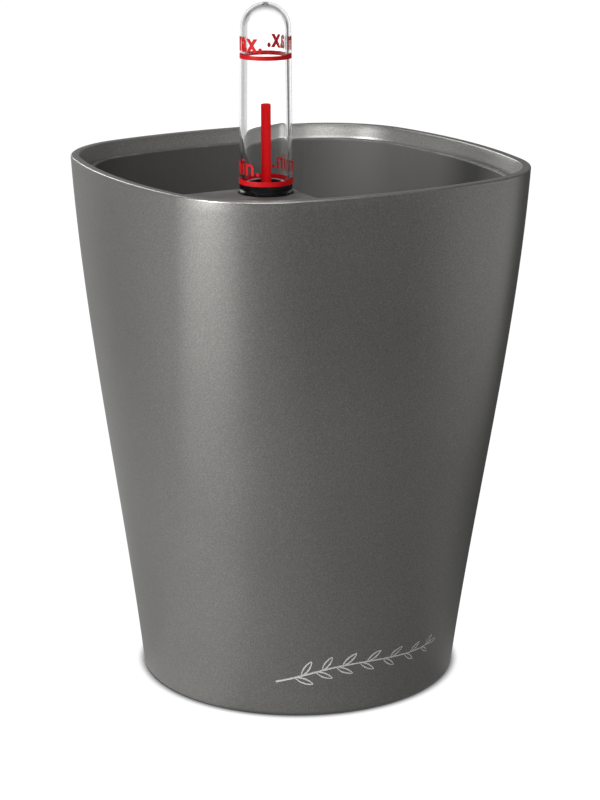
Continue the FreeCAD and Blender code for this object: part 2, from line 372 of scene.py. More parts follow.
@dataclass(frozen=True)
class MetalLacquer(Finish):
    """Satin lacquer with fine metal flake, and a paler band along one edge: handling wear on the pot, a
    painted highlight on the liner.
    """

    paint: tuple[float, float, float] = (0.17, 0.167, 0.159)
    flake: tuple[float, float, float] = (0.42, 0.413, 0.395)
    flake_share: float = 0.35
    flakes: float = 3400.0
    roughness: float = 0.37
    metallic: float = 0.75
    edge_height: float = 0.13
    edge_band: float = 0.0012
    edge_wear_and_highlight: float = 0.03
    edge_polish: float = 0.05

    def make(self) -> bpy.types.Material:
        """Returns the lacquer's material."""
        material, shader, surface = self.start()
        flakes = Effect.place(shader, "metal_flake", Paint=(*self.paint, 1.0), Flake=(*self.flake, 1.0),
                              Flake_Share=self.flake_share, Flakes_per_Metre=self.flakes,
                              Gloss_Loss=self.roughness)
        rubbed = Effect.place(shader, "worn_and_highlit_edge", Color=flakes.outputs["Color"],
                              Roughness=flakes.outputs["Roughness"], Edge_Height=self.edge_height,
                              Band=self.edge_band, Paleness=self.edge_wear_and_highlight, Polish=self.edge_polish)
        shader.feed(surface, Base_Color=rubbed.outputs["Color"], Roughness=rubbed.outputs["Roughness"],
                    Metallic=self.metallic)
        self.raise_grain(shader, surface, flakes.outputs["Height"])
        return material


@dataclass(frozen=True)
class MouldedPlastic(Finish):
    """Plain moulded plastic with a fine mould texture, and an optional paler band round one height that is a
    painted highlight.
    """

    colour: tuple[float, float, float] = (0.02, 0.02, 0.02)
    roughness: float = 0.4
    grains: float = 2600.0
    mottle: float = 0.2
    dust: float = 0.03
    metallic: float = 0.0
    specular: float = 0.5
    edge_height: float = 0.0
    edge_band: float = 0.0001
    edge_wear_and_highlight: float = 0.0
    edge_polish: float = 0.05

    def make(self) -> bpy.types.Material:
        """Returns the plastic's material."""
        material, shader, surface = self.start()
        grain = Effect.place(shader, "moulded_grain", Color=(*self.colour, 1.0), Roughness=self.roughness,
                             Grains_per_Metre=self.grains, Mottle=self.mottle, Dust=self.dust)
        toned = grain
        # The paler band is a painted highlight.
        if self.edge_wear_and_highlight > 0.0:
            toned = Effect.place(shader, "worn_and_highlit_edge", Color=grain.outputs["Color"],
                                 Roughness=grain.outputs["Roughness"], Edge_Height=self.edge_height,
                                 Band=self.edge_band, Paleness=self.edge_wear_and_highlight, Polish=self.edge_polish)
        shader.feed(surface, Base_Color=toned.outputs["Color"], Roughness=toned.outputs["Roughness"],
                    Metallic=self.metallic, Specular_IOR_Level=self.specular)
        self.raise_grain(shader, surface, grain.outputs["Height"])
        return material


@dataclass(frozen=True)
class ClearPlastic(Finish):
    """Clear moulded tube wall with faint flow lines."""

    tint: tuple[float, float, float] = (0.985, 0.99, 0.99)
    roughness: float = 0.015
    ior: float = 1.49
    gleam: tuple[float, float, float] = (0.08, 0.08, 0.08)

    def make(self) -> bpy.types.Material:
        """Returns the clear material."""
        material, shader, surface = self.start()
        place = shader.object_place()
        stretch = shader.add("ShaderNodeMapping")
        shader.feed(stretch, Vector=place, Scale=(1.0, 1.0, 0.18))
        flow = shader.noise(stretch.outputs["Vector"], 260.0, 2.0, 0.4)
        haze = shader.spread(flow, 0.3, 0.8, self.roughness * 0.4, self.roughness * 1.6)
        tinted = shader.blend(flow, (*self.tint, 1.0), (1.0, 1.0, 1.0, 1.0))
        shader.feed(surface, Roughness=haze, Base_Color=tinted, Transmission_Weight=1.0, IOR=self.ior,
                    Specular_Tint=(*self.gleam, 1.0))
        self.raise_grain(shader, surface, flow)
        return material


@dataclass(frozen=True)
class Felt(Finish):
    """Needled felt: short crossed fibres, soft sheen, damp and darker towards its ends."""

    dry: tuple[float, float, float] = (0.66, 0.65, 0.60)
    damp: tuple[float, float, float] = (0.40, 0.39, 0.35)
    water_height: float = 0.030
    damp_band: float = 0.012

    def make(self) -> bpy.types.Material:
        """Returns the felt's material."""
        material, shader, surface = self.start()
        place = shader.object_place()
        warp = shader.add("ShaderNodeMapping")
        shader.feed(warp, Vector=place, Scale=(1.0, 1.0, 0.25))
        fibre = shader.noise(warp.outputs["Vector"], 2400.0, 5.0, 0.75)
        tuft = shader.noise(place, 420.0, 3.0, 0.6)
        wet = shader.spread(shader.upward(place), self.water_height, self.water_height + self.damp_band,
                            1.0, 0.0)
        cloth = shader.blend(wet, (*self.dry, 1.0), (*self.damp, 1.0))
        dark = shader.spread(fibre, 0.35, 0.7, 0.72, 1.06)
        shader.feed(surface, Base_Color=shader.toned(cloth, dark), Sheen_Weight=0.25, Specular_IOR_Level=0.2,
                    Roughness=shader.spread(wet, 0.0, 1.0, 0.95, 0.6))
        self.raise_grain(shader, surface, shader.math("ADD", fibre, tuft))
        return material


@dataclass(frozen=True)
class CellFoam(Finish):
    """Closed-cell foam, with small cells open on the cut faces."""

    colour: tuple[float, float, float] = (0.72, 0.72, 0.69)
    cells: float = 1900.0

    def make(self) -> bpy.types.Material:
        """Returns the foam's material."""
        material, shader, surface = self.start()
        place = shader.object_place()
        cell = shader.add("ShaderNodeTexVoronoi", feature="F1")
        shader.feed(cell, Scale=self.cells, Vector=place)
        wall = shader.spread(cell.outputs["Distance"], 0.15, 0.75)
        tone = shader.spread(cell.outputs["Distance"], 0.2, 0.8, 0.8, 1.04)
        shader.feed(surface, Base_Color=shader.toned((*self.colour, 1.0), tone),
                    Roughness=shader.spread(wall, 0.0, 1.0, 0.85, 0.6))
        self.raise_grain(shader, surface, wall)
        return material


@dataclass(frozen=True)
class PrintedInk(Finish):
    """Screen-printed ink, a little uneven in cover and gloss, with a faint glow that is painted light."""

    colour: tuple[float, float, float] = (0.30, 0.002, 0.005)
    thin: tuple[float, float, float] = (0.26, 0.002, 0.004)
    roughness: float = 0.5
    metallic: float = 0.0
    see_through: float = 0.1
    specular: float = 0.08
    painted_glow: float = 0.3

    def make(self) -> bpy.types.Material:
        """Returns the ink's material."""
        material, shader, surface = self.start()
        place = shader.object_place()
        cover = shader.noise(place, 1500.0, 3.0, 0.6)
        colour = shader.blend(shader.spread(cover, 0.35, 0.7), (*self.thin, 1.0), (*self.colour, 1.0))
        rough = shader.spread(cover, 0.2, 0.8, self.roughness * 1.2, self.roughness * 0.8)
        # The emission is painted light that brightens the ink.
        shader.feed(surface, Base_Color=colour, Roughness=rough, Metallic=self.metallic,
                    Emission_Color=(*self.colour, 1.0), Emission_Strength=self.painted_glow,
                    Transmission_Weight=self.see_through, Specular_IOR_Level=self.specular)
        self.raise_grain(shader, surface, cover)
        return material


@dataclass(frozen=True)
class FinishSet:
    """Every finish on the planter, made once."""

    lacquer: bpy.types.Material
    liner: bpy.types.Material
    black: bpy.types.Material
    housing: bpy.types.Material
    rod: bpy.types.Material
    ink: bpy.types.Material
    clear: bpy.types.Material
    felt: bpy.types.Material
    foam: bpy.types.Material
    silver: bpy.types.Material


def make_finishes() -> FinishSet:
    """Builds the shared effects and all finishes.

    Returns:
        The finished materials.
    """
    build_flake_effect()
    build_wear_and_highlight_effect()
    build_mould_effect()
    return FinishSet(
        lacquer=MetalLacquer("charcoal_metal_lacquer", bump=0.05, bump_depth=0.00003).make(),
        # The liner's paler top edge band is a painted highlight.
        liner=MetalLacquer("charcoal_liner", bump=0.15, bump_depth=0.00005, paint=(0.037, 0.036, 0.034),
                           flake=(0.067, 0.066, 0.063), roughness=0.72, metallic=0.0, edge_height=0.1267,
                           edge_band=0.0006, edge_wear_and_highlight=0.08, edge_polish=0.20).make(),
        # The pale band round the plug's bead is a painted highlight.
        black=MouldedPlastic("black_plug_plastic", bump=0.10, bump_depth=0.00003,
                             colour=(0.003, 0.003, 0.003), roughness=0.35, dust=0.004, specular=0.25,
                             edge_height=Gauge.ridge_top + Gauge.bead_height, edge_band=0.00022,
                             edge_wear_and_highlight=0.9).make(),
        housing=MouldedPlastic("black_housing_plastic", bump=0.3, colour=(0.018, 0.018, 0.018),
                               roughness=0.45, dust=0.05).make(),
        rod=MouldedPlastic("red_rod_plastic", bump=0.08, bump_depth=0.00003, colour=(0.50, 0.002, 0.004),
                           roughness=0.6, mottle=0.08, dust=0.0, specular=0.06).make(),
        # The red ink's faint glow is painted light.
        ink=PrintedInk("red_scale_ink", bump=0.1, bump_depth=0.00002).make(),
        clear=ClearPlastic("clear_tube_plastic", bump=0.02, bump_depth=0.00003).make(),
        felt=Felt("wick_felt", bump=0.9, bump_depth=0.0004).make(),
        foam=CellFoam("float_foam", bump=0.7, bump_depth=0.0002).make(),
        silver=PrintedInk("silver_print", bump=0.1, bump_depth=0.00002, colour=(0.52, 0.52, 0.505),
                          thin=(0.43, 0.43, 0.415), roughness=0.5, metallic=0.3, see_through=0.0,
                          specular=0.5, painted_glow=0.0).make())


# ------------------------------------------------------------------ mesh helpers


def finish_piece(name: str, bm: bmesh.types.BMesh, material: bpy.types.Material, body: Body,
                 stands_for: Iterable[str] = (), sharp_above: float = 50.0,
                 turn_out: bool = True) -> bpy.types.Object:
    """Turns a bmesh into a shaded piece that rides on its body.

    Args:
        name: the piece's name.
        bm: the shape in the CAD frame; it is freed here.
        material: its finish.
        body: what it moves with.
        stands_for: nodes that it replaces.
        sharp_above: edges bent by more degrees than this stay sharp.
        turn_out: whether the faces still have to be pointed outwards.

    Returns:
        The new object.
    """
    if turn_out:
        bmesh.ops.recalc_face_normals(bm, faces=bm.faces)
    mesh = bpy.data.meshes.new(name)
    bm.to_mesh(mesh)
    bm.free()
    mesh.materials.append(material)
    mesh.shade_smooth()
    mesh.set_sharp_from_angle(angle=math.radians(sharp_above))
    piece = bpy.data.objects.new(name, mesh)
    bpy.context.scene.collection.objects.link(piece)
    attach(piece, body.value)
    for node in stands_for:
        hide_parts(node)
    LOG.info("%s: %d faces on %s", name, len(mesh.polygons), body.value)
    return piece


def dress_node(node: str, material: bpy.types.Material) -> None:
    """Gives a carried-over node its finish."""
    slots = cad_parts[node].data.materials
    slots.clear()
    slots.append(material)
    LOG.info("%s: dressed", node)


def raised_part(made: dict[str, list]) -> list[bmesh.types.BMVert]:
    """Returns the new vertices of an extrusion."""
    return [part for part in made["geom"] if isinstance(part, bmesh.types.BMVert)]


def raise_print(bm: bmesh.types.BMesh) -> set[bmesh.types.BMVert]:
    """Extrudes a flat drawing and points its faces outwards.

    Args:
        bm: the drawing; it is left as a thick block, whose inside and outside are easily told apart.

    Returns:
        The vertices of its upper face.
    """
    raised = raised_part(bmesh.ops.extrude_face_region(bm, geom=list(bm.faces)))
    bmesh.ops.translate(bm, verts=raised, vec=(0.0, 0.0, 0.01))
    bm.normal_update()
    bmesh.ops.recalc_face_normals(bm, faces=bm.faces)
    return set(raised)


@dataclass
class Ring:
    """Grows a surface row by row from a circle whose vertices remember their station."""

    stations: int
    bm: bmesh.types.BMesh = field(init=False)
    edges: list[bmesh.types.BMEdge] = field(init=False)

    def __post_init__(self) -> None:
        """Starts from a circle with numbered vertices."""
        self.bm = bmesh.new()
        self.number = self.bm.verts.layers.int.new("station")
        made = bmesh.ops.create_circle(self.bm, cap_ends=False, radius=1.0, segments=self.stations)
        for count, vert in enumerate(made["verts"]):
            vert[self.number] = count
        self.edges = list(self.bm.edges)

    def corners(self) -> list[bmesh.types.BMVert]:
        """Returns the newest row's vertices."""
        return list(dict.fromkeys(vert for edge in self.edges for vert in edge.verts))

    def put(self, place: Callable[[int], Vector]) -> None:
        """Moves the newest row so that each station stands where place says."""
        for vert in self.corners():
            vert.co = place(vert[self.number])

    def grow(self, place: Callable[[int], Vector]) -> None:
        """Extrudes the newest row to where place says."""
        made = bmesh.ops.extrude_edge_only(self.bm, edges=self.edges)
        self.edges = [part for part in made["geom"]
                      if isinstance(part, bmesh.types.BMEdge) and part.is_boundary]
        self.put(place)

    def close(self, corners: list[bmesh.types.BMVert], centre: Vector) -> None:
        """Closes a row to a point.

        Args:
            corners: the row's vertices.
            centre: where they meet.
        """
        edges = list(dict.fromkeys(edge for vert in corners for edge in vert.link_edges
                                   if edge.is_boundary and all(end in corners for end in edge.verts)))
        made = bmesh.ops.extrude_edge_only(self.bm, edges=edges)
        bmesh.ops.pointmerge(self.bm, verts=raised_part(made), merge_co=centre)


def turned(profile: list[tuple[float, float]], axis: Vector, steps: int = 96,
           closed: bool = True) -> bmesh.types.BMesh:
    """Spins a profile about an upright axis.

    Args:
        profile: radius and height of each corner, in order.
        axis: a point on the axis.
        steps: faces round the axis.
        closed: whether the last corner joins the first.

    Returns:
        The closed shape.
    """
    bm = bmesh.new()
    verts = [bm.verts.new(axis + Vector((radius, 0.0, height - axis.z))) for radius, height in profile]
    edges = [bm.edges.new(pair) for pair in zip(verts, verts[1:])]
    if closed:
        edges.append(bm.edges.new((verts[-1], verts[0])))
    bmesh.ops.spin(bm, geom=verts + edges, cent=axis, axis=(0.0, 0.0, 1.0), dvec=(0.0, 0.0, 0.0),
                   angle=TURN, steps=steps, use_merge=True, use_duplicate=False)
    bmesh.ops.remove_doubles(bm, verts=bm.verts, dist=1e-7)
    return bm


def rounded(corner: tuple[float, float], radius: float, start: float, end: float,
            steps: int = 5) -> list[tuple[float, float]]:
    """Returns points on an arc, as radius and height pairs.

    Args:
        corner: the arc's centre.
        radius: the arc's radius.
        start: first angle in degrees.
        end: last angle in degrees.
        steps: number of stretches.
    """
    angles = [math.radians(start + (end - start) * step / steps) for step in range(steps + 1)]
    return [(corner[0] + radius * math.cos(a), corner[1] + radius * math.sin(a)) for a in angles]


# ------------------------------------------------------------------ outer pot


@dataclass(frozen=True)
class PotForm:
    """The pot's outline: four side arcs and four corner arcs that become one circle at the base."""

    height: float = 0.130
    rim_half_side: float = 0.0508
    corner_radius: float = 0.0269
    side_radius: float = 0.1249
    base_radius: float = 0.0397
    swell: float = 0.217
    flick: float = -0.324
    side_steps: int = 26
    corner_steps: int = 30

    @property
    def side_shift(self) -> float:
        """Plan distance from the axis to a side arc's centre at the rim, negative across the axis."""
        return self.rim_half_side - self.side_radius

    @property
    def corner_shift(self) -> float:
        """Offset along X and Y of a corner arc's centre at the rim."""
        spare = 2.0 * (self.side_radius - self.corner_radius) ** 2 - self.side_shift ** 2
        return (self.side_shift + math.sqrt(spare)) / 2.0

    @property
    def half_side_angle(self) -> float:
        """Angle from the middle of a side arc to its end."""
        return math.atan2(self.corner_shift, self.corner_shift - self.side_shift)

    def share(self, z: float) -> float:
        """Returns how far the outline at a height has gone from base to rim."""
        t = z / self.height
        return t + self.swell * t * (1.0 - t) + self.flick * t * (1.0 - t) * (1.0 - 2.0 * t)

    def place(self, heading: float, z: float, inset: float = 0.0) -> Vector:
        """Finds a point of the outline.

        Args:
            heading: direction that the wall faces there, in plan.
            z: height of the outline.
            inset: distance inwards from the outer face.

        Returns:
            The point.
        """
        share = self.share(z)
        quarter = round(heading / (TURN / 4.0))
        off = heading - quarter * TURN / 4.0
        if abs(off) <= self.half_side_angle:
            reach = share * self.side_shift
            toward = quarter * TURN / 4.0
            end = share * self.side_radius
        else:
            reach = share * self.corner_shift * math.sqrt(2.0)
            toward = (math.floor(heading / (TURN / 4.0)) + 0.5) * TURN / 4.0
            end = share * self.corner_radius
        radius = (1.0 - share) * self.base_radius + end - inset
        return Vector((reach * math.cos(toward) + radius * math.cos(heading),
                       reach * math.sin(toward) + radius * math.sin(heading), z))

    def headings(self) -> list[float]:
        """Returns the directions of a full round of stations, closer together on the corners."""
        found = []
        for quarter in range(4):
            toward = quarter * TURN / 4.0
            span = 2.0 * self.half_side_angle
            found += [toward - span / 2.0 + span * step / self.side_steps for step in range(self.side_steps)]
            rest = TURN / 4.0 - span
            found += [toward + span / 2.0 + rest * step / self.corner_steps
                      for step in range(self.corner_steps)]
        return found


@dataclass
class Planter:
    """Outer pot: lacquered shell with a flat lip and a foot ring."""

    form: PotForm
    wall_base: float = 0.0024
    wall_top: float = 0.00375
    lip_width: float = 0.0022
    lip_slope: float = 0.0036
    lip_round: float = 0.0004
    base_round: float = 0.0010
    floor_top: float = 0.004
    foot_width: float = 0.005
    foot_recess: float = 0.0012
    recess_reach: float = 0.024
    floor_round: float = 0.0004
    floor_reach: float = 0.020
    crease: float = 0.00005

    def rows(self) -> list[tuple[float, float, float]]:
        """Returns each row's outline height, own height and inset, from under the base to inside."""
        form = self.form
        found = [(0.0, self.foot_recess, self.recess_reach),
                 (0.0, self.foot_recess, self.foot_width + self.crease),
                 (0.0, self.foot_recess - self.crease, self.foot_width), (0.0, self.crease, self.foot_width),
                 (0.0, 0.0, self.foot_width - self.crease)]
        edge = self.base_round
        top = form.height - self.lip_round
        lean = math.atan2(self.wall_top - self.lip_width, self.lip_slope)
        flat_end = self.lip_width - self.lip_round * math.tan((math.pi / 2.0 - lean) / 2.0)
        side = rounded((edge, edge), edge, -90.0, -180.0, 6)
        side += [(0.0, edge + (top - edge) * step / 48) for step in range(1, 49)]
        side += rounded((self.lip_round, top), self.lip_round, 180.0, 90.0, 5)[1:]
        side += rounded((flat_end, top), self.lip_round, 90.0, math.degrees(lean), 5)
        found += [(z, z, inset) for inset, z in side]
        slope_foot = form.height - self.lip_slope
        for step in range(1, 5):
            part = step / 4
            z = top + (slope_foot - top) * part
            inset = self.lip_width + (self.wall_top - self.lip_width) * (form.height - z) / self.lip_slope
            found.append((z, z, inset))
        for step in range(1, 33):
            z = slope_foot + (self.floor_top + self.floor_round - slope_foot) * step / 32
            share = (z - self.floor_top) / (slope_foot - self.floor_top)
            found.append((z, z, self.wall_base + (self.wall_top - self.wall_base) * share))
        found += [(self.floor_top, self.floor_top, self.wall_base + self.floor_round),
                  (self.floor_top, self.floor_top, self.floor_reach)]
        return found

    def build(self, finishes: FinishSet) -> None:
        """Builds and dresses the shell."""
        headings = self.form.headings()
        ring = Ring(len(headings))
        rows = self.rows()

        def at(row: tuple[float, float, float]) -> Callable[[int], Vector]:
            """Returns the place function of one row."""
            def place(station: int) -> Vector:
                point = self.form.place(headings[station], row[0], row[2])
                point.z = row[1]
                return point
            return place

        ring.put(at(rows[0]))
        first = ring.corners()
        for row in rows[1:]:
            ring.grow(at(row))
        ring.close(first, Vector((0.0, 0.0, rows[0][1])))
        ring.close(ring.corners(), Vector((0.0, 0.0, rows[-1][1])))
        finish_piece("pot_shell", ring.bm, finishes.lacquer, Body.POT, ("planter_shell",), 40.0)


@dataclass
class Sprig:
    """Printed leaf sprig low on the front: a curved stem with paired leaves."""

    form: PotForm
    start: float = math.radians(233.5)
    end: float = math.radians(291.0)
    low: float = 0.0100
    rise: float = 0.0050
    stem_width: float = 0.00046
    leaf_length: float = 0.0052
    leaf_width: float = 0.0017
    pairs: int = 7
    first_pair: float = 0.14
    last_pair: float = 0.94
    leaf_lean: float = math.radians(38.0)
    proud: float = 0.00006
    skin: float = 0.00003

    def stem_point(self, along: float) -> Vector:
        """Returns the stem's flat place: distance round the pot and height."""
        span = (self.end - self.start) * self.form.base_radius
        sway = 0.0016 * math.sin(along * math.pi * 1.6 - 0.4)
        return Vector((span * along, self.low + self.rise * along ** 1.5 + sway, 0.0))

    def stem_way(self, along: float) -> Vector:
        """Returns the stem's flat direction at a share of its length."""
        return self.stem_point(min(along + 0.01, 1.0)) - self.stem_point(max(along - 0.01, 0.0))

    def wrap(self, flat: Vector) -> Vector:
        """Lays a flat point onto the pot's face."""
        heading = self.start + flat.x / self.form.base_radius
        return self.form.place(heading, flat.y, -flat.z)

    def build(self, finishes: FinishSet) -> None:
        """Builds and dresses the sprig."""
        bm = bmesh.new()
        made = bmesh.ops.create_grid(bm, x_segments=90, y_segments=1, size=0.5)
        for vert in made["verts"]:
            along, side = vert.co.x + 0.5, vert.co.y * 2.0
            ahead = self.stem_way(along)
            across = Vector((-ahead.y, ahead.x, 0.0)).normalized()
            taper = self.stem_width * (1.0 - 0.35 * along)
            vert.co = self.stem_point(along) + across * side * taper / 2.0
        for pair in range(self.pairs):
            along = self.first_pair + (self.last_pair - self.first_pair) * pair / (self.pairs - 1)
            size = 1.0 - 0.45 * along
            for side in (-1.0, 1.0):
                self.add_leaf(bm, along + 0.02 * side, side, size)
        self.add_leaf(bm, 0.985, 0.0, 0.6)
        raised = raise_print(bm)
        for vert in bm.verts:
            vert.co.z = self.proud if vert in raised else self.proud - self.skin
            vert.co = self.wrap(vert.co)
        finish_piece("printed_sprig", bm, finishes.silver, Body.POT, sharp_above=60.0, turn_out=False)

    def add_leaf(self, bm: bmesh.types.BMesh, along: float, side: float, size: float) -> None:
        """Adds one pointed leaf outline beside the stem.

        Args:
            bm: the flat drawing.
            along: place on the stem, from 0 to 1.
            side: -1 below the stem, 1 above, 0 at its tip.
            size: leaf size against the largest.
        """
        root = self.stem_point(along)
        ahead = self.stem_way(along)
        lean = math.atan2(ahead.y, ahead.x) + side * self.leaf_lean
        made = bmesh.ops.create_circle(bm, cap_ends=False, radius=1.0, segments=28)
        outer = made["verts"]
        length, width = self.leaf_length * size, self.leaf_width * size
        for vert in outer:
            angle = math.atan2(vert.co.y, vert.co.x)
            bulge = math.sin(angle) * (0.55 + 0.45 * math.sin(abs(angle)) ** 1.5)
            vert.co = Vector(((1.0 + math.cos(angle)) / 2.0 * length, bulge * width / 2.0, 0.0))
        edges = list(dict.fromkeys(edge for vert in outer for edge in vert.link_edges))
        made = bmesh.ops.extrude_edge_only(bm, edges=edges)
        inner = raised_part(made)
        middle = Vector((length / 2.0, 0.0, 0.0))
        for vert in inner:
            off = vert.co - middle
            vert.co = middle + Vector((off.x * 0.84, off.y * 0.52, 0.0))
        turn = Matrix.Translation(root) @ Matrix.Rotation(lean, 4, "Z")
        bmesh.ops.transform(bm, matrix=turn, verts=outer + inner)


# ------------------------------------------------------------------ liner


@dataclass
class Liner:
    """Lift-out liner with its deck, and the felt wicks through its floor."""

    wick_width: float = 0.010
    wick_thickness: float = 0.0018
    wick_span: float = 0.018
    wick_bend: float = 0.0016
    wick_flat_length: float = 0.0900
    wick_bottom: float = 0.005
    wick_top: float = 0.0418
    fluff: float = 0.00012
    fuzz: float = 0.00010
    ragged: float = 0.0009
    ragged_share: float = 0.02
    thin_from: float = 0.86
    thin_by: float = 0.55
    wick_middles: tuple[tuple[float, float, float], ...] = ((0.002, 0.020, 0.0), (0.020, 0.002, TURN / 4.0))

    def build(self, finishes: FinishSet) -> None:
        """Dresses the liner and builds both wicks."""
        dress_node("planter_liner", finishes.liner)
        for name, node, middle in zip(("felt_wick_back", "felt_wick_right"), ("wick_back", "wick_right"),
                                      self.wick_middles):
            self.build_wick(name, node, middle, finishes)

    def wick_path(self, along: float) -> tuple[Vector, Vector]:
        """Follows the strip's middle from one end, up, over the floor and down.

        Args:
            along: share of the strip's length.

        Returns:
            The place in the strip's own plane, and the outward direction there.
        """
        bend = self.wick_bend
        inner = self.wick_span / 2.0 - bend
        mid_top = self.wick_top - self.wick_thickness / 2.0
        leg = mid_top - bend - self.wick_bottom
        arc = bend * math.pi / 2.0
        side = -1.0 if along <= 0.5 else 1.0
        gone = min(along, 1.0 - along) * 2.0 * (leg + arc + inner)
        if gone <= leg:
            way = Vector((side, 0.0, 0.0))
            return Vector((side * (inner + bend), 0.0, self.wick_bottom + gone)), way
        gone -= leg
        if gone <= arc:
            a = gone / bend
            way = Vector((side * math.cos(a), 0.0, math.sin(a)))
            return Vector((side * inner, 0.0, mid_top - bend)) + way * bend, way
        return Vector((side * (inner + arc - gone), 0.0, mid_top)), Vector((0.0, 0.0, 1.0))

    def build_wick(self, name: str, node: str, middle: tuple[float, float, float],
                   finishes: FinishSet) -> None:
        """Builds one felt strip with soft faces and slightly ragged ends.

        Args:
            name: the piece's name.
            node: the node it stands for.
            middle: plan place and turn.
            finishes: all finishes.
        """
        bm = bmesh.new()
        bmesh.ops.create_grid(bm, x_segments=150, y_segments=18, size=0.5)
        half_thick = self.wick_thickness / 2.0 - self.fluff
        made = bmesh.ops.extrude_face_region(bm, geom=list(bm.faces))
        raised = set(raised_part(made))
        turn = Matrix.Translation((middle[0], middle[1], 0.0)) @ Matrix.Rotation(middle[2], 4, "Z")
        for vert in bm.verts:
            along = vert.co.x + 0.5
            across = vert.co.y * 2.0
            near_end = max(0.0, 1.0 - min(along, 1.0 - along) / self.ragged_share)
            ragged = noise.noise(Vector((across * 5.0, along * 3.0, middle[0] * 400.0)))
            place, way = self.wick_path(along)
            past = max(0.0, (abs(across) - self.thin_from) / (1.0 - self.thin_from))
            edge = 1.0 - past ** 2 * self.thin_by
            side, seed = (1.0, 3.0) if vert in raised else (-1.0, 8.0)
            fuzz = self.fuzz * noise.noise(Vector((along * 90.0, across * 11.0, seed)))
            lift = (half_thick * edge + fuzz) * side
            point = place + way * lift
            point.y = across * (self.wick_width / 2.0 - 0.0001)
            if near_end:
                point.z = max(point.z + self.ragged * near_end * ragged, self.wick_bottom)
            vert.co = turn @ point
        piece = finish_piece(name, bm, finishes.felt, Body.LINER, (node,), 70.0)


# ------------------------------------------------------------------ level gauge


